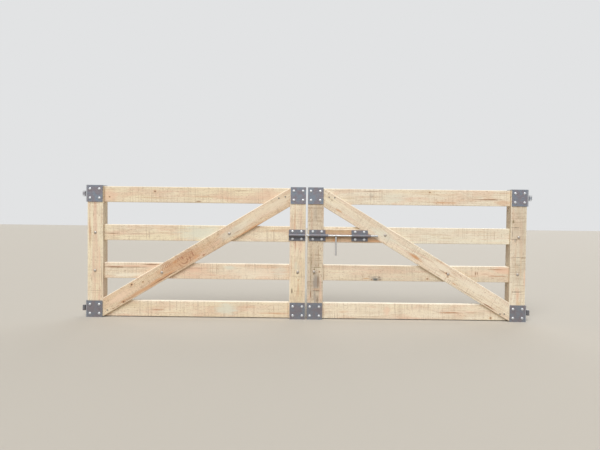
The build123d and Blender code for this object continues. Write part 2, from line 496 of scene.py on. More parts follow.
# %% Stains, swirls, and bruises round the bolts, with painted shadow below their heads
mark_depth = 0.008
swirl_arcs = 4.5
bruise_shadow_across, shadow_drop = 0.037, 0.003


def mark_layers(grain, marks, frayed):
    """Stains and streaks of the board's front, and a few painted shadows, with frayed rims."""
    front_half = grain.w.rise(mark_depth, -mark_depth)
    for *oval, tone, share in marks:
        far = grain.oval(*oval) + frayed
        yield (1 - far.rise(0.35, 1.0)) * front_half * share, tone


def swirl_layers(grain, swirls, blushes, bands):
    """Broken arcs, where the saw crossed a burr."""
    for swirl in swirls:
        far = grain.oval(*swirl) + (blushes - 0.5) * 1.6
        arcs = (far * swirl_arcs).fraction()
        arcs = arcs.rise(0.35, 0.8) * arcs.rise(1.0, 0.85) * bands.rise(0.4, 0.55)
        yield (1 - far.rise(0.5, 1.1)) * arcs * 0.9, BURR


def bruise_and_shadow_layers(grain, places, ragged):
    """Stained rings round the bolts' heads, set a little low so that they paint the heads' shadow below
    them.
    """
    for x, z in places:
        far = grain.oval(x, z - shadow_drop, bruise_shadow_across, bruise_shadow_across) + ragged * 0.3
        # partly a stain, partly painted shadow below the head
        yield (1 - far.rise(0.6, 1.0)) * 0.6, BRUISE_AND_SHADOW

# %% The whole board
knot_length, knot_width = 2.6, 2
grain_depth = 0.0009


def dress_board(
    node, first_tone, second_tone, seed, marks=(), knots=(), swirls=(),
    saw=0.45, slant=0.03, blush=0.5, banded=0.4, speckle=0.5,
):
    """Gives one board its finish: tones laid over its first one, one after another."""
    side, *_, kind = node.split("_")
    bolt_places = {"stile": stile_bolts, "brace": brace_bolts}.get(kind, {}).get(side, [])

    def build(tree):
        grain = Grain(tree, boards[node], seed, knots)
        clouds = grain.noise(1.1, 7.0, 3.0, 0.6)
        blushes = grain.noise(4.0, 11.0, 2.0, 0.6)
        bands = grain.noise(0.8, 30.0, 4.0, 0.6)
        streaks = grain.noise(1.8, 64.0, 3.0, 0.65)
        fibres = grain.noise(14.0, 520.0, 2.0, 0.6)
        pores = grain.noise(70.0, 1300.0, 1.0, 0.5).rise(0.6, 0.7)
        flecks = grain.noise(45.0, 150.0, 2.0, 0.6).rise(0.58, 0.7)
        ragged = (grain.noise(9.0, 60.0, 3.0, 0.65) - 0.5) * 1.3
        late_wood = late_wood_of(grain, clouds)
        kerfs = kerfs_of(grain, slant)
        layers = [
            (clouds.rise(0.36, 0.64), second_tone),
            (blushes.rise(0.5, 0.66) * blush, PINK),
            (blushes.rise(0.46, 0.3) * 0.45, BUTTER),
            (bands.rise(0.52, 0.68) * banded, ROSE),
            (bands.rise(0.46, 0.3) * banded, OATMEAL),
            (streaks.rise(0.6, 0.72) * 0.6, ORANGE),
            (streaks.rise(0.42, 0.3) * 0.6, TAN),
            (late_wood * grain.noise(2.5, 9.0).rise(0.3, 0.6) * 0.45, TAN),
            (fibres.rise(0.45, 0.75) * 0.5, TAN),
            (pores * speckle, BROWN),
            (flecks * speckle, BROWN),
            *edge_layers(grain, kind),
            (kerfs * saw, KERF),
            *mark_layers(grain, marks, ragged + (fibres - 0.5) * 1.6),
            *swirl_layers(grain, swirls, blushes, bands),
            *bruise_and_shadow_layers(grain, bolt_places, ragged),
        ]
        height = fibres * 0.3 + streaks * 0.3 + late_wood * 0.08 - pores * 0.35 - kerfs * saw * 0.8
        for x, z, radius in knots:
            far = grain.oval(x, z, radius * knot_length, radius * knot_width) + ragged * 0.35
            heart = 1 - far.rise(0.45, 1.0)
            layers += [((1 - far.rise(0.8, 2.2)) * 0.45, ORANGE), (heart * 0.85, UMBER)]
            height = height - heart
        return {
            "Base Color": tree.layered(first_tone, layers),
            "Roughness": 0.62 + fibres * 0.2 + kerfs * 0.08,
            "Normal": tree.bump(height, 0.6, grain_depth),
        }

    coat(node, finish(f"timber_{node}", build))

# %% The left leaf's boards
# A mark is an x, a z, a length and a width in metres, a tone and a strength. A knot is an x, a z
# and a radius. A swirl is an x, a z, a length and a width.
dress_board("left_rail_1", CREAM, BUTTER, 1, marks=[
    (0.25, 1.1, 0.22, 0.14, PINK, 0.7), (1.5, 1.162, 0.2, 0.01, BROWN, 0.6),
    (1.1, 1.058, 0.06, 0.018, BROWN, 0.8), (1.75, 1.13, 0.4, 0.1, PINK, 0.5),
], knots=[(0.684, 1.148, 0.008), (0.252, 1.092, 0.006)])
dress_board("left_rail_2", CREAM, BUTTER, 2, blush=0.4, marks=[
    (1.15, 0.756, 0.6, 0.19, PALE_GREEN, 0.75), (0.28, 0.745, 0.2, 0.014, BROWN, 0.8),
    (0.5, 0.748, 0.24, 0.012, BROWN, 0.35), (0.3, 0.7, 0.14, 0.03, TAN, 0.6),
])
dress_board("left_rail_3", CREAM, PEACH, 3, saw=0.75, marks=[
    (0.5, 0.435, 0.66, 0.03, PINK, 0.8), (0.3, 0.423, 0.24, 0.02, BROWN, 0.9),
    (0.5, 0.425, 0.26, 0.018, BROWN, 0.6), (0.66, 0.451, 0.2, 0.014, BROWN, 0.8),
    (0.45, 0.35, 0.5, 0.06, MILK, 0.8), (1.08, 0.417, 0.18, 0.022, BROWN, 0.6),
    (1.06, 0.405, 0.22, 0.06, PINK, 0.7), (1.4, 0.43, 0.16, 0.06, PALE_GREEN, 0.7),
    (1.62, 0.385, 0.74, 0.15, MILK, 0.5), (1.88, 0.4, 0.2, 0.12, PALE_GREEN, 0.4),
])
dress_board("left_rail_4", STRAW, CREAM, 4, marks=[
    (1.38, 0.03, 0.26, 0.15, PALE_GREEN, 0.8), (1.8, -0.003, 0.42, 0.012, ORANGE, 0.6),
    (0.72, 0.018, 0.16, 0.012, RUSSET, 0.8),
])
dress_board("left_outer_stile", CREAM, BUTTER, 5, banded=0.7, marks=[
    (0.075, 0.78, 0.34, 0.022, ORANGE, 0.6), (0.083, 0.78, 0.12, 0.008, BROWN, 0.8),
    (0.076, 0.66, 0.14, 0.007, BROWN, 0.7), (0.093, 0.31, 0.09, 0.007, BROWN, 0.7),
    (0.108, 0.92, 0.08, 0.007, BROWN, 0.6), (0.187, 0.35, 0.4, 0.008, BROWN, 0.5),
    # the last mark on this line and the mark on the next line are painted shadow below bolt heads
    (0.165, 0.5, 0.4, 0.03, PINK, 0.6), (0.126, 0.75, 0.07, 0.035, TAN, 0.6),
    (0.123, 0.386, 0.09, 0.035, TAN, 0.6),
])
dress_board("left_meeting_stile", CREAM, STRAW, 6, marks=[
    (2.026, 0.66, 0.2, 0.012, RUSSET, 0.7), (1.997, 0.213, 0.08, 0.016, UMBER, 0.9),
    (2.057, 0.235, 0.17, 0.022, SIENNA, 0.5), (2.056, 0.322, 0.03, 0.018, SIENNA, 0.7),
    (2.032, 0.45, 0.12, 0.04, PALE_GREEN, 0.4), (2.062, 0.44, 0.09, 0.05, ASH, 0.6),
    # painted shade below the bolt head at z 0.4
    (2.049, 0.385, 0.022, 0.036, UMBER, 0.85),
])
dress_board("left_brace", paint(219, 190, 156), paint(228, 206, 175), 7, saw=0.5, speckle=0.8, marks=[
    (0.94, 0.49, 0.7, 0.14, SIENNA, 0.75), (0.36, 0.14, 0.4, 0.08, PEACH, 0.7),
    (1.084, 0.53, 0.09, 0.04, ORANGE, 0.5), (0.885, 0.482, 0.05, 0.04, ORANGE, 0.7),
    (1.05, 0.56, 0.018, 0.06, BURR, 1.0), (1.026, 0.523, 0.016, 0.05, BURR, 1.0),
    (1.002, 0.506, 0.014, 0.04, BURR, 1.0), (0.954, 0.519, 0.016, 0.045, BURR, 1.0),
    (0.909, 0.512, 0.014, 0.035, BURR, 0.9), (1.157, 0.55, 0.04, 0.022, BURR, 1.0),
    (0.6, 0.222, 0.72, 0.05, SIENNA, 0.9), (0.8, 0.352, 0.44, 0.03, ORANGE, 0.6),
    (0.8, 0.338, 0.4, 0.014, BROWN, 1.0), (0.45, 0.125, 0.2, 0.024, BROWN, 0.5),
    (0.3, 0.03, 0.05, 0.012, BROWN, 0.9), (0.341, 0.053, 0.05, 0.01, BROWN, 0.9),
    (1.3, 0.612, 0.6, 0.02, SIENNA, 0.9), (1.6, 0.803, 0.4, 0.026, ORANGE, 0.8),
    (1.45, 0.79, 0.5, 0.1, PALE_GREEN, 0.5), (1.7, 0.96, 0.7, 0.13, CREAM, 0.5),
    (1.86, 1.055, 0.3, 0.15, OATMEAL, 0.6),
], knots=[(0.472, 0.26, 0.01), (0.58, 0.287, 0.007), (0.396, 0.094, 0.009)],
    swirls=[(0.985, 0.52, 0.26, 0.17), (0.8, 0.44, 0.14, 0.12)])

# %% The right leaf's boards and the packer
dress_board("right_rail_1", CREAM, MILK, 11, saw=0.35, marks=[
    (2.741, 1.13, 0.05, 0.09, WEATHERED, 0.35), (2.74, 1.172, 0.26, 0.01, BROWN, 0.7),
    (3.425, 1.07, 0.32, 0.012, ORANGE, 0.9), (3.862, 1.104, 0.36, 0.013, BROWN, 0.9),
    (3.99, 1.076, 0.22, 0.06, ORANGE, 0.45), (2.95, 1.11, 0.3, 0.12, PALE_GREEN, 0.4),
], knots=[(3.297, 1.167, 0.006)])
dress_board("right_rail_2", MILK, paint(236, 229, 207), 12, blush=0.2, banded=0.25, speckle=0.35, marks=[
    (2.6, 0.7, 0.6, 0.03, ORANGE, 0.5),
])
dress_board("right_rail_3", paint(218, 206, 182), paint(234, 220, 195), 13, blush=0.3, marks=[
    (2.8, 0.339, 0.15, 0.064, WEATHERED, 0.8), (2.805, 0.351, 0.03, 0.014, DRIFT, 0.8),
    (2.79, 0.332, 0.05, 0.028, SLATE, 0.9), (2.756, 0.33, 0.022, 0.016, BROWN, 0.8),
    (2.83, 0.354, 0.032, 0.022, BRUISE_AND_SHADOW, 0.9), (2.837, 0.33, 0.034, 0.016, BRUISE_AND_SHADOW, 0.9),
    (2.705, 0.341, 0.1, 0.016, SIENNA, 0.8), (3.8, 0.395, 0.36, 0.1, PEACH, 0.6),
    (4.0, 0.43, 0.22, 0.09, PINK, 0.9), (3.95, 0.44, 0.26, 0.012, RUSSET, 1.0),
    (3.95, 0.378, 0.24, 0.01, RUSSET, 1.0), (3.745, 0.4, 0.02, 0.05, BROWN, 0.8),
    (3.762, 0.4, 0.014, 0.05, BROWN, 0.8), (3.84, 0.396, 0.1, 0.01, RUSSET, 0.6),
    (3.72, 0.374, 0.12, 0.01, RUSSET, 0.5),
], knots=[(3.286, 0.344, 0.008)])
dress_board("right_rail_4", CREAM, MILK, 14, speckle=0.35, marks=[
    (2.905, 0.035, 0.08, 0.12, PINK, 0.6), (3.5, 0.022, 0.28, 0.014, RUSSET, 1.0),
    (3.705, 0.024, 0.13, 0.012, RUSSET, 0.7), (2.5, 0.02, 0.16, 0.03, ORANGE, 0.3),
], knots=[(3.898, -0.024, 0.008)])
dress_board("right_outer_stile", MILK, paint(212, 202, 180), 15, marks=[
    (4.2, 0.35, 0.3, 0.02, PINK, 0.6), (4.12, 0.86, 0.05, 0.1, TAN, 0.5),
    (4.14, 0.2, 0.16, 0.05, PINK, 0.5), (4.104, 0.785, 0.15, 0.11, ASH, 0.6),
    (4.107, 0.843, 0.012, 0.12, UMBER, 0.6), (4.079, 0.793, 0.13, 0.01, UMBER, 0.5),
    (4.112, 0.828, 0.008, 0.08, BROWN, 0.3), (4.105, 0.731, 0.01, 0.12, UMBER, 0.5),
    (4.086, 0.898, 0.036, 0.024, OLIVE, 0.8), (4.145, 0.285, 0.034, 0.2, DRIFT, 0.6),
    (4.105, 0.72, 0.05, 0.03, SILVER, 0.4), (4.14, 0.561, 0.01, 0.12, UMBER, 0.5),
    (4.135, 0.488, 0.01, 0.11, UMBER, 0.5), (4.125, 0.47, 0.08, 0.05, TAN, 0.6),
    (4.13, 0.231, 0.012, 0.12, UMBER, 0.6), (4.15, 0.11, 0.1, 0.06, BISCUIT, 0.8),
    (4.165, 0.5, 0.4, 0.01, BISCUIT, 0.8),
], saw=0.75, slant=0.0, blush=0.3, banded=0.25)
dress_board("right_meeting_stile", DRIFT, ASH, 16, saw=0.75, blush=0.15, banded=0.5, speckle=0.9, marks=[
    (2.216, 0.3, 0.8, 0.3, WEATHERED, 0.15), (2.213, 0.96, 0.22, 0.045, WEATHERED, 0.35),
    (2.2, 0.56, 0.24, 0.03, TAN, 0.6), (2.175, 0.44, 0.54, 0.01, OLIVE, 0.7),
    (2.242, 0.56, 0.26, 0.009, BROWN, 0.7), (2.232, 0.444, 0.01, 0.14, OLIVE, 0.8),
    (2.206, 0.424, 0.028, 0.02, OLIVE, 0.9), (2.206, 0.384, 0.024, 0.034, OLIVE, 1.0),
    (2.224, 0.306, 0.2, 0.085, WEATHERED, 0.95), (2.244, 0.32, 0.18, 0.022, BRUISE_AND_SHADOW, 0.9),
    (2.268, 0.3, 0.18, 0.02, ROSE, 0.4), (2.23, 0.221, 0.01, 0.13, UMBER, 0.9),
    (2.232, 0.235, 0.03, 0.1, SIENNA, 0.4), (2.175, 0.185, 0.1, 0.016, BROWN, 0.9),
    (2.215, 0.155, 0.16, 0.04, WEATHERED, 0.7), (2.24, 0.137, 0.09, 0.026, UMBER, 0.5),
    (2.16, 0.15, 0.14, 0.036, PINK, 0.35), (2.268, 0.17, 0.18, 0.04, PINK, 0.5),
], knots=[(2.255, 0.402, 0.006)])
dress_board("right_brace", CREAM, MILK, 27, saw=0.5, blush=0.3, banded=0.45, speckle=0.5, marks=[
    (3.16, 0.555, 0.2, 0.04, ORANGE, 0.9), (3.435, 0.414, 0.16, 0.014, BROWN, 0.9),
    (3.534, 0.302, 0.06, 0.014, ORANGE, 0.9), (3.596, 0.377, 0.03, 0.016, BROWN, 0.7),
    (3.866, 0.09, 0.18, 0.018, BROWN, 1.0), (3.72, 0.178, 0.6, 0.01, BROWN, 0.5),
    (2.367, 1.083, 0.026, 0.018, BRUISE_AND_SHADOW, 0.5), (2.434, 0.985, 0.09, 0.024, ORANGE, 0.7),
    (2.86, 0.76, 0.3, 0.1, PALE_GREEN, 0.5), (3.7, 0.28, 0.5, 0.1, MILK, 0.6),
    (3.42, 0.455, 0.3, 0.08, MILK, 0.7),
], knots=[(3.463, 0.402, 0.008), (3.474, 0.368, 0.006)])
dress_board("bolt_packer", paint(208, 173, 134), paint(190, 150, 110), 18, marks=[
    # the first mark is a painted shadow just below the slide bolt's rod
    (2.43, 0.731, 0.3, 0.012, BROWN, 0.7), (2.4, 0.705, 0.1, 0.03, ORANGE, 0.9),
    (2.75, 0.7, 0.3, 0.03, ORANGE, 0.6),
])

# %% [markdown]
# ## Eased edges
#
# No real edge is a perfect line. A sawn board's arris breaks off when it is handled, and a
# sheared plate has a small radius. That narrow facet catches the light along a gate's rails. Weld
# joins the loose triangles of a solid piece, and Bevel then rounds every edge sharper than a set
# angle. Both stay live modifiers, so the piece's own mesh is not touched.

# %% Round the sharp edges
arris, sheared_edge = 0.0018, 0.0007
sharp_in_timber, sharp_in_steel = 40, 60
points_join_within = 0.00002


def ease_edges(node, width, sharper_than):
    piece = nodes[node]
    joined = piece.modifiers.new("join", "WELD")
    joined.merge_threshold = points_join_within
    eased = piece.modifiers.new("ease", "BEVEL")
    eased.width = width
    eased.segments = 2
    eased.limit_method = "ANGLE"
    eased.angle_limit = radians(sharper_than)


for node in nodes:
    if node in boards:
        ease_edges(node, arris, sharp_in_timber)
    elif node.endswith("bracket"):
        ease_edges(node, sheared_edge, sharp_in_steel)
print(f"edges eased by {arris * 1000:.1f} mm on timber, {sheared_edge * 1000:.1f} mm on brackets")

# %% [markdown]
# ## Plate steel
#
# The brackets, the bolt's plates and the hinge eyes are cut from hot rolled stock. The mill
# leaves a thin scale on it, blue in one place and plum in the next, rubbed to bare grey where
# pieces slid on a bench. Clouds of two sizes mix the tints, and long thin scratches cross them.

# %% Mill scale
SCALE_BLUE = paint(124, 133, 146)
SCALE_PLUM = paint(129, 122, 130)
SCALE_GREY = paint(138, 139, 141)
SCALE_DARK = paint(88, 86, 92)
BOLT_GREY = paint(114, 108, 108)
SCRATCH = paint(186, 187, 190)
RUST = paint(142, 98, 70)
scale_depth = 0.0004


def stretched(tree, along_x, along_y, along_z):
    """A point's place, with this many units to a metre along each axis."""
    return tree.vector("MULTIPLY", tree.place(), Vector((along_x, along_y, along_z)))


def clouded(tree, times, detail=2.0, roughness=0.5):
    """Clouds on a piece, this many to a metre."""
    return tree.noise(stretched(tree, times, times, times), detail, roughness)


def plate_build(tree):
    clouds = clouded(tree, 16.0, 3.0, 0.6)
    mottle = clouded(tree, 70.0, 3.0, 0.7)
    grit = clouded(tree, 900.0, 2.0, 0.6)
    scratches = tree.noise(stretched(tree, 30.0, 600.0, 900.0), 1.0)
    layers = [
        (clouds.rise(0.4, 0.6), SCALE_PLUM),
        (mottle.rise(0.45, 0.7) * 0.55, SCALE_GREY),
        (mottle.rise(0.44, 0.28) * 0.45, SCALE_DARK),
        (scratches.rise(0.68, 0.74) * 0.4, SCRATCH),
        ((clouds * mottle).rise(0.38, 0.48) * 0.08, RUST),
    ]
    height = mottle * 0.5 + grit * 0.4 - scratches.rise(0.66, 0.74) * 0.6
    return {
        "Base Color": tree.layered(SCALE_BLUE, layers),
        "Metallic": 0.35,
        "Roughness": 0.46 + mottle * 0.22,
        "Normal": tree.bump(height, 0.35, scale_depth),
    }

# %% The slide bolt's plates get painted shade below their tubes
bolt_line_z = middle_of("bolt_keeper").z
shade_from_line, shade_full_at = 0.002, 0.008


def bolt_build(tree):
    sockets = plate_build(tree)
    _, _, z = tree.parted(tree.place())
    tube_shade = (bolt_line_z - z).rise(shade_from_line, shade_full_at)
    # painted shade on the lower half of each plate, below its tube
    tree.tint(sockets, (0.35, BOLT_GREY), (tube_shade * 0.45, SCALE_DARK))
    return sockets


bolt_steel = finish("bolt_steel", bolt_build)

# %% The bracket's finish has a ground strip where its side plate shows, with painted light on the upper brackets and painted shade on the lower ones
gates_middle_x = ((cad_low + cad_high) / 2).x
groove_from, groove_to = 2.0765, 2.0785
strip_from, strip_to = 2.0795, 2.0807
ground_from, ground_to = 0.051, 0.054
light_rise_from, light_rise_to = 0.05, 0.6
# the next tone is the painted shade low down on the brackets and the hinge eyes
LOW_SHADE = paint(104, 96, 88)
ZINC_DULL = paint(176, 179, 184)


def bracket_build(tree):
    sockets = plate_build(tree)
    x, y, z = tree.parted(tree.place())
    from_middle = (x - gates_middle_x).size()
    strip = from_middle.rise(strip_from, strip_to)
    groove = from_middle.rise(groove_from, groove_to) * (1 - strip)
    ground = y.size().rise(ground_from, ground_to)
    # painted light: the strip is paler on the upper brackets
    bright = 0.2 + ground * (0.15 + z.rise(light_rise_from, light_rise_to) * 0.6)
    # painted shade: the plates are darker towards the bottom brackets
    shade_low_down = z.rise(light_rise_to, light_rise_from)
    tree.tint(sockets, (shade_low_down * 0.25, LOW_SHADE), (groove * 0.5, SCALE_DARK), (strip * bright, ZINC_DULL))
    return sockets


bracket_steel = finish("bracket_steel", bracket_build)

# %% Hinge eyes have painted highlights on their rims, painted light on the top ones and painted shade on the bottom ones
rim_from, rim_to = 0.0125, 0.0155
past_eye_from, past_eye_to = 0.03, 0.04
eye_lit_from, eye_lit_to = 0.3, 0.9
ZINC = paint(208, 210, 213)


def eye_build(tree):
    sockets = plate_build(tree)
    _, _, z = tree.parted(tree.place())
    rims = 0.0
    for node in ("left_bottom_hinge_eye", "left_top_hinge_eye"):
        near = (z - middle_of(node).z).size()
        rim = near.rise(rim_from, rim_to) * (1 - near.rise(past_eye_from, past_eye_to))
        rims = rim.most(rims)
    eye_lit = z.rise(eye_lit_from, eye_lit_to)
    # painted shade on the lower eyes, and painted light with rim highlights on the upper eyes
    tree.tint(sockets, ((1 - eye_lit) * 0.5, LOW_SHADE), ((0.3 + rims * 0.7) * eye_lit, ZINC))
    return sockets


eye_steel = finish("eye_steel", eye_build)

# %% [markdown]
# ## Zinc
#
# The bolts, nuts and washers are zinc plated. Fresh zinc is nearly white and only half shiny,
# and a faint spangle of cloudy patches keeps it from looking like chrome. The bolt's rod, its
# handle and the hinge pins are bare bar: the same recipe, greyer and shinier.

# %% Bright zinc
spangle_depth = 0.0002


def zinc_build(tree):
    clouds = clouded(tree, 45.0, 3.0, 0.6)
    cells = stretched(tree, 260.0, 260.0, 260.0)
    spangle = tree.node("ShaderNodeTexVoronoi", {"Vector": cells})
    grit = clouded(tree, 1500.0)
    layers = [
        (clouds.rise(0.42, 0.62) * 0.6, ZINC_DULL),
        (spangle.rise(0.2, 0.7) * 0.15, paint(224, 225, 226)),
    ]
    height = spangle * 0.2 + grit * 0.3
    return {
        "Base Color": tree.layered(ZINC, layers),
        "Metallic": 0.55,
        "Roughness": 0.34 + clouds * 0.2,
        "Normal": tree.bump(height, 0.25, spangle_depth),
    }


def dull_zinc_build(tree):
    """Heads that were driven into green timber: its sap has stained the zinc."""
    sockets = zinc_build(tree)
    tree.tint(sockets, (0.6, paint(172, 155, 134)))
    return sockets


def bar_finish(name, tone, share):
    """Drawn bar, rubbed by hands and by its tubes: a plainer mirror than the zinc is."""
    def build(tree):
        sockets = zinc_build(tree)
        tree.tint(sockets, (share, tone))
        sockets["Metallic"] = 0.85
        sockets["Roughness"] = 0.3
        return sockets

    return finish(name, build)


zinc = finish("bright_zinc", zinc_build)
dull_zinc = finish("dull_zinc", dull_zinc_build)
rod_steel = bar_finish("rod_steel", paint(150, 149, 148), 0.6)
handle_steel = bar_finish("handle_steel", paint(206, 206, 205), 0.8)
pin_steel = bar_finish("pin_steel", paint(92, 88, 84), 0.85)

# %% Give the steel pieces their finishes
steels = {
    "nuts": zinc, "bracket": bracket_steel, "hinge_eye": eye_steel,
    "bolt_rod": rod_steel, "bolt_handle": handle_steel, "pin": pin_steel,
}
for node in nodes:
    if node not in boards:
        fitting = [steel for word, steel in steels.items() if word in node]
        coat(node, fitting[0] if fitting else bolt_steel)
print(len(nodes) - len(boards), "steel pieces dressed")

# %% [markdown]
# ## Turned shapes: bolt heads, washers and nuts
#
# A cup head bolt is a turned shape: a profile swept round an axis. So is a washer, and even a
# hexagon nut is nearly one. Its outline swells to six corners, and the turned chamfer cuts
# those corners off in six arcs. One function makes all three from rings of points. Where a ring
# is hexagonal, its radius and height change with the angle.

# %% A function that turns a profile
fasteners = {}


def hexagon_radius(flats, angle):
    """Distance from a hexagon's middle to its side, at an angle."""
    sixth = pi / 3
    return flats / 2 / cos((angle + sixth / 2) % sixth - sixth / 2)


def plain_ring(radius, height):
    return lambda angle: (radius, height)


def hexagon_ring(flats, height):
    return lambda angle: (hexagon_radius(flats, angle), height)


def turned(name, rings, towards, sides=24):
    """A closed solid from rings: each is a function of angle that gives radius and height."""
    points = []
    for ring in rings:
        for step in range(sides):
            angle = 2 * pi * step / sides
            radius, height = ring(angle)
            points.append((radius * cos(angle), towards * height, radius * sin(angle)))
    faces = []
    for start in range(0, len(points) - sides, sides):
        for step in range(sides):
            a, b = start + step, start + (step + 1) % sides
            faces.append((a, b, b + sides, a + sides))
    order = tuple(range(len(points)))
    faces += [order[:sides][::-1], order[-sides:]]
    if towards > 0:
        faces = [face[::-1] for face in faces]
    fasteners[name] = mesh_object(name, points, faces=faces)
    print(f"{name}: {len(faces)} faces")

# %% A cup head, 25 mm across
head_radius, head_height, head_rim = 0.0125, 0.0066, 0.0012
dome_rings = 6
rings = [plain_ring(head_radius, 0.0)]
for step in range(dome_rings + 1):
    climb = step / (dome_rings + 0.6) * pi / 2
    height = head_rim + (head_height - head_rim) * sin(climb)
    rings.append(plain_ring(head_radius * cos(climb), height))
turned("cup_head", rings, -1.0)

# %% A screw's head with its hexagon socket
screw_radius, screw_height = 0.0075, 0.0014
socket_flats, socket_depth = 0.0064, 0.0011
rings = [
    plain_ring(screw_radius, 0.0),
    plain_ring(screw_radius, screw_height * 0.5),
    plain_ring(screw_radius * 0.88, screw_height),
    hexagon_ring(socket_flats, screw_height),
    hexagon_ring(socket_flats, screw_height - socket_depth),
]
turned("screw_head", rings, -1.0)

# %% A nut with the bolt's end in it, alone and on a washer
nut_flats, nut_height = 0.019, 0.0106
nut_face_radius = nut_flats * 0.47
washer_radius, washer_thickness = 0.014, 0.0024
thread_radius, thread_gap, gap_depth = 0.0058, 0.0006, 0.001
end_sunk = 0.0004


def nut_rings(base):
    top = base + nut_height

    def chamfer(angle):
        """The further out the hexagon's side is, the lower the chamfer meets it."""
        radius = hexagon_radius(nut_flats, angle)
        return radius, top - (radius - nut_face_radius) * 0.5

    return [
        hexagon_ring(nut_flats, base),
        chamfer,
        plain_ring(nut_face_radius, top),
        plain_ring(thread_radius + thread_gap, top),
        plain_ring(thread_radius, top - gap_depth),
        plain_ring(thread_radius, top - end_sunk),
        plain_ring(thread_radius * 0.8, top),
    ]


washer_rings = [
    plain_ring(washer_radius, 0.0),
    plain_ring(washer_radius, washer_thickness * 0.8),
    plain_ring(washer_radius * 0.97, washer_thickness),
]
turned("bracket_nut", nut_rings(0.0), 1.0)
turned("washer_nut", washer_rings + nut_rings(washer_thickness), 1.0)

# %% [markdown]
# ## Bolts in their patterns
#
# Each bracket and each plate of the slide bolt is held by four bolts in a rectangle. That is
# work for Geometry Nodes: one tree takes the middles of the plates, lays the rectangle of points
# on each, and puts a fastener on every point. The same tree with one column and one row sets the
# single bolts. Nuts end up turned any way round, so the tree turns each one by a random angle,
# from a fixed seed. Its last nodes turn the instances into real mesh and give them their finish.

# %% How every tree begins and ends
def begin_tree(name, inputs):
    """A Geometry Nodes tree that knows its inputs' identifiers, and the wires that leave them."""
    tree = Tree(bpy.data.node_groups.new(name, "GeometryNodeTree"))
    tree.ids = {}
    for label, kind in inputs.items():
        socket = tree.data.interface.new_socket(label, in_out="INPUT", socket_type="NodeSocket" + kind)
        tree.ids[label] = socket.identifier
    sources = tree.node("NodeGroupInput").socket.node.outputs
    return tree, [Wire(tree, sources[label]) for label in inputs]


def end_tree(tree, geometry, coating):
    """Makes instances real mesh, gives it its finish and sends it out."""
    tree.data.interface.new_socket("Pieces", in_out="OUTPUT", socket_type="NodeSocketGeometry")
    real = tree.node("GeometryNodeRealizeInstances", {"Geometry": geometry})
    done = tree.node("GeometryNodeSetMaterial", {"Geometry": real, "Material": coating})
    tree.node("NodeGroupOutput", {0: done})
    print(f"{tree.data.name}: {len(tree.data.nodes)} nodes")

# %% The pattern tree
FLOAT_LEAST, FLOAT_MOST, FLOAT_DRAWN = 2, 3, 1


def pattern_tree():
    tree, wires = begin_tree("bolt_pattern", {
        "Plate Middles": "Geometry", "Fastener": "Object", "Finish": "Material",
        "Columns": "Int", "Pitch Across": "Float", "Rows": "Int", "Pitch Up": "Float",
        "Largest Turn": "Float", "Seed": "Int",
    })
    middles, fastener, coating, columns, across, rows, up, turn, seed = wires

    def line(count, pitch, x, z):
        """Evenly spaced points along x or z, round the origin."""
        first = (count - 1) * pitch * -0.5
        return tree.node("GeometryNodeMeshLine", {
            "Count": count,
            "Start Location": tree.joined(first * x, 0.0, first * z),
            "Offset": tree.joined(pitch * x, 0.0, pitch * z),
        })

    def copies(points, shape):
        made = tree.node("GeometryNodeInstanceOnPoints", {"Points": points, "Instance": shape})
        return tree.node("GeometryNodeRealizeInstances", {"Geometry": made})

    laid = copies(middles, copies(line(columns, across, 1, 0), line(rows, up, 0, 1)))
    turns = {FLOAT_LEAST: -turn, FLOAT_MOST: turn, "Seed": seed}
    angle = tree.node("FunctionNodeRandomValue", turns, FLOAT_DRAWN, data_type="FLOAT")
    shape = tree.node("GeometryNodeObjectInfo", {"Object": fastener}, "Geometry")
    facing = tree.node("FunctionNodeEulerToRotation", {0: tree.joined(0.0, angle, 0.0)})
    placed = tree.node("GeometryNodeInstanceOnPoints", {
        "Points": laid, "Instance": shape, "Rotation": facing,
    })
    end_tree(tree, placed, coating)
    return tree


bolt_pattern = pattern_tree()

# %% From modifier to plain mesh
def grown(name, points, edges, tree, values, body):
    """Runs a tree on points and edges, keeps the result as a plain piece and lets it ride."""
    source = mesh_object("source", points, edges)
    modifier = source.modifiers.new("grow", "NODES")
    modifier.node_group = tree.data
    for label, value in values.items():
        modifier[tree.ids[label]] = value
    depsgraph = bpy.context.evaluated_depsgraph_get()
    mesh = bpy.data.meshes.new_from_object(source.evaluated_get(depsgraph), depsgraph=depsgraph)
    bpy.data.objects.remove(source)
    mesh.name = name
    piece = into_scene(name, mesh)
    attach(piece, body)
    print(f"{name}: {len(mesh.polygons)} faces on {body}")
    return piece


def bolts(name, points, body, fastener, across=0.0, up=0.0, seed=None, coating=zinc):
    """Fasteners round each point: four with a pitch, one without. With a seed they are turned."""
    count = 2 if across else 1
    values = {
        "Fastener": fasteners[fastener], "Finish": coating, "Columns": count, "Rows": count,
        "Pitch Across": across, "Pitch Up": up, "Largest Turn": pi if seed else 0.0, "Seed": seed or 1,
    }
    return grown(name, points, (), bolt_pattern, values, body)

# %% Where the brackets' patterns sit
bracket_edge, bracket_across, bracket_up = 0.027, 0.088, 0.086
leaf_sides = ("left", "right")
nut_seeds = {"left": 4, "right": 5}


def bracket_middles(side, face_y):
    """The middles of a leaf's four bolt patterns, on the front or on the back of its brackets."""
    inset = bracket_edge + bracket_across / 2
    found = []
    for place in ("outer", "meeting"):
        low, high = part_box(f"{side}_{place}_stile")
        x = low.x + inset if (place == "outer") == (side == "left") else high.x - inset
        for level in ("bottom", "top"):
            found.append((x, face_y, middle_of(f"{side}_{place}_{level}_bracket").z))
    return found


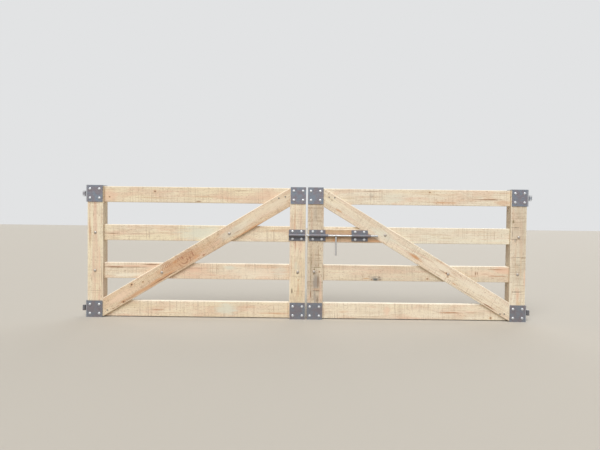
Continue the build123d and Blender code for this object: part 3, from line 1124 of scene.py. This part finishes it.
bracket_front_y, bracket_back_y = (corner.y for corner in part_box("left_meeting_top_bracket"))
pitch = {"across": bracket_across, "up": bracket_up}
for side in leaf_sides:
    body = f"{side}_leaf"
    fronts, backs = (bracket_middles(side, y) for y in (bracket_front_y, bracket_back_y))
    bolts(f"{side}_bracket_heads", fronts, body, "cup_head", **pitch)
    nuts = bolts(f"{side}_bracket_nuts_turned", backs, body, "bracket_nut", seed=nut_seeds[side], **pitch)
    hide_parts(f"{side}_bracket_nuts")

# %% The slide bolt's plates
plate_length = 0.155
plate_across, plate_up = 0.084, 0.07
stile_front_y, stile_back_y = (corner.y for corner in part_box("left_meeting_stile"))
rail_back_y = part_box("left_rail_2")[1].y
plate_front_y = bracket_front_y
plates = {
    "bolt_keeper": ("left_leaf", stile_back_y),
    "bolt_barrel_1": ("right_leaf", stile_back_y),
    "bolt_barrel_2": ("right_leaf", rail_back_y),
}
pitch = {"across": plate_across, "up": plate_up}
for number, (node, (body, back_y)) in enumerate(plates.items()):
    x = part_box(node)[0].x + plate_length / 2
    bolts(f"{node}_heads", [(x, plate_front_y, bolt_line_z)], body, "cup_head", **pitch)
    bolts(f"{node}_nuts", [(x, back_y, bolt_line_z)], body, "washer_nut", seed=20 + number, **pitch)

# %% Screws are dull, with painted shade in their sockets and at their feet
def screw_build(tree):
    sockets = dull_zinc_build(tree)
    _, y, _ = tree.parted(tree.place())
    crown_y = stile_front_y - screw_height
    socket_shade = (y - crown_y).rise(socket_depth * 0.2, socket_depth * 0.6)
    # a dull tint all over, and painted shade in the socket and at the head's foot
    tree.tint(sockets, (0.35 + socket_shade * 0.5, paint(80, 69, 52)))
    return sockets


screw_zinc = finish("screw_zinc", screw_build)

# %% Single bolts through stiles and braces, and the screws at the braces' ends
for side in leaf_sides:
    body = f"{side}_leaf"
    fronts = [(x, stile_front_y, z) for x, z in stile_bolts[side] + brace_bolts[side]]
    backs = [(x, stile_back_y, z) for x, z in stile_bolts[side]]
    backs += [(x, rail_back_y, z) for x, z in brace_bolts[side]]
    bolts(f"{side}_timber_heads", fronts, body, "cup_head", coating=dull_zinc)
    bolts(f"{side}_timber_nuts", backs, body, "washer_nut", seed=30 + nut_seeds[side])
    ends = [(x, stile_front_y, z) for x, z in brace_screws[side]]
    bolts(f"{side}_brace_screws", ends, body, "screw_head", seed=40 + nut_seeds[side], coating=screw_zinc)

for shape in fasteners.values():
    bpy.data.objects.remove(shape)

# %% [markdown]
# ## Weld beads
#
# The slide bolt's tubes are welded to their plates, the hinge arms to the brackets, and the
# handle to its rod. A bead is a chain of small frozen ripples, so it follows a path: a curve is
# sampled at a quarter of the ripples' pitch, its radius rises and falls with the length along it,
# and a circle is swept along. The bead sinks half into the corner that it fills.

# %% The bead tree
def bead_tree():
    tree, wires = begin_tree("weld_bead", {
        "Path": "Geometry", "Finish": "Material",
        "Bead Radius": "Float", "Ripple Pitch": "Float", "Ripple Depth": "Float",
    })
    path, coating, radius, pitch, depth = wires
    curve = tree.node("GeometryNodeMeshToCurve", {"Mesh": path})
    sampled = {"Curve": curve, "Length": pitch / 4}
    curve = tree.node("GeometryNodeResampleCurve", sampled, mode="LENGTH")
    along = tree.node("GeometryNodeSplineParameter", output="Length")
    ripple = 1 + (along / pitch * (2 * pi)).wave() * depth
    uneven = tree.noise(tree.node("GeometryNodeInputPosition"), 1.0)
    ring = tree.node("GeometryNodeCurvePrimitiveCircle", {"Resolution": 8, "Radius": radius})
    swept = tree.node("GeometryNodeCurveToMesh", {
        "Curve": curve, "Profile Curve": ring, "Fill Caps": True,
        "Scale": ripple * (0.85 + uneven * 0.3),
    })
    smooth = tree.node("GeometryNodeSetShadeSmooth", {"Geometry": swept})
    end_tree(tree, smooth, coating)
    return tree


weld_bead = bead_tree()

# %% The weld's finish
def weld_build(tree):
    clouds = clouded(tree, 120.0)
    colour = tree.layered(paint(128, 124, 122), [(clouds.rise(0.4, 0.65), paint(92, 86, 84))])
    return {"Base Color": colour, "Metallic": 0.6, "Roughness": 0.42 + clouds * 0.2}


weld_steel = finish("weld_steel", weld_build)

# %% From lines of points to beads
bead_radius, ripple_pitch, ripple_depth = 0.0026, 0.0032, 0.14


def beads(name, lines, body, radius=bead_radius):
    """One piece with a bead along each line of points. A line that ends where it began is a loop."""
    points, edges = [], []
    for line in lines:
        closed = line[0] == line[-1]
        count = len(line) - closed
        start = len(points)
        points += line[:count]
        edges += [(start + i, start + (i + 1) % count) for i in range(len(line) - 1)]
    values = {
        "Finish": weld_steel, "Bead Radius": radius,
        "Ripple Pitch": ripple_pitch, "Ripple Depth": ripple_depth,
    }
    grown(name, points, edges, weld_bead, values, body)

# %% Beads along the tubes
bead_out, bead_end, bead_lift = 0.0075, 0.006, 0.0022
bead_y = plate_front_y - bead_lift
for node, (body, _) in plates.items():
    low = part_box(node)[0]
    ends = (low.x + bead_end, low.x + plate_length - bead_end)
    lines = [[(x, bead_y, bolt_line_z + side * bead_out) for x in ends] for side in (-1, 1)]
    beads(f"{node}_welds", lines, body)

# %% Beads round the hinge arms
arm_half_y, arm_half_z = 0.0062, 0.0202
eye_half_z = arm_half_z * 0.94
plate_joint, eye_joint = 0.0008, 0.0168
for side in leaf_sides:
    outward = -1.0 if side == "left" else 1.0
    near_x = (0.0 if side == "left" else 2 * gates_middle_x) - outward * eye_joint
    lines = []
    for level in ("bottom", "top"):
        bracket = f"{side}_outer_{level}_bracket"
        z = middle_of(bracket).z
        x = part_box(bracket)[side == "right"].x + outward * plate_joint
        lines.append([(x, a * arm_half_y, z + b * arm_half_z) for a, b in square + square[:1]])
        for a in (-1, 1):
            lines.append([(near_x, a * arm_half_y, z + b * eye_half_z) for b in (-1, 1)])
    beads(f"{side}_hinge_welds", lines, f"{side}_leaf")

# %% A bead round the handle's top
tube_radius, rod_radius = 0.01345, 0.01
seam_radius, seam_gap, seam_bead_radius = 0.0094, 0.0012, 0.0018
seam_steps = 32
bolt_axis_y = plate_front_y - tube_radius
handle_x = middle_of("bolt_handle").x
seam = []
for step in range(seam_steps):
    angle = 2 * pi * step / seam_steps
    sideways = seam_radius * sin(angle)
    drop = sqrt((rod_radius + seam_gap) ** 2 - sideways ** 2)
    seam.append((handle_x + seam_radius * cos(angle), bolt_axis_y + sideways, bolt_line_z - drop))
seam.append(seam[0])
beads("handle_weld", [seam], "bolt_handle", seam_bead_radius)

# %% [markdown]
# ## Sizes
#
# The dressed gates must not outgrow the solid model, so both boxes are printed.

# %% Print both boxes
new_low, new_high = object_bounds()
sizes = {
    "cad": [list(cad_low), list(cad_high)],
    "visual": [list(new_low), list(new_high)],
}
for name, (low, high) in sizes.items():
    print(name, [round(value, 4) for value in low], [round(value, 4) for value in high])
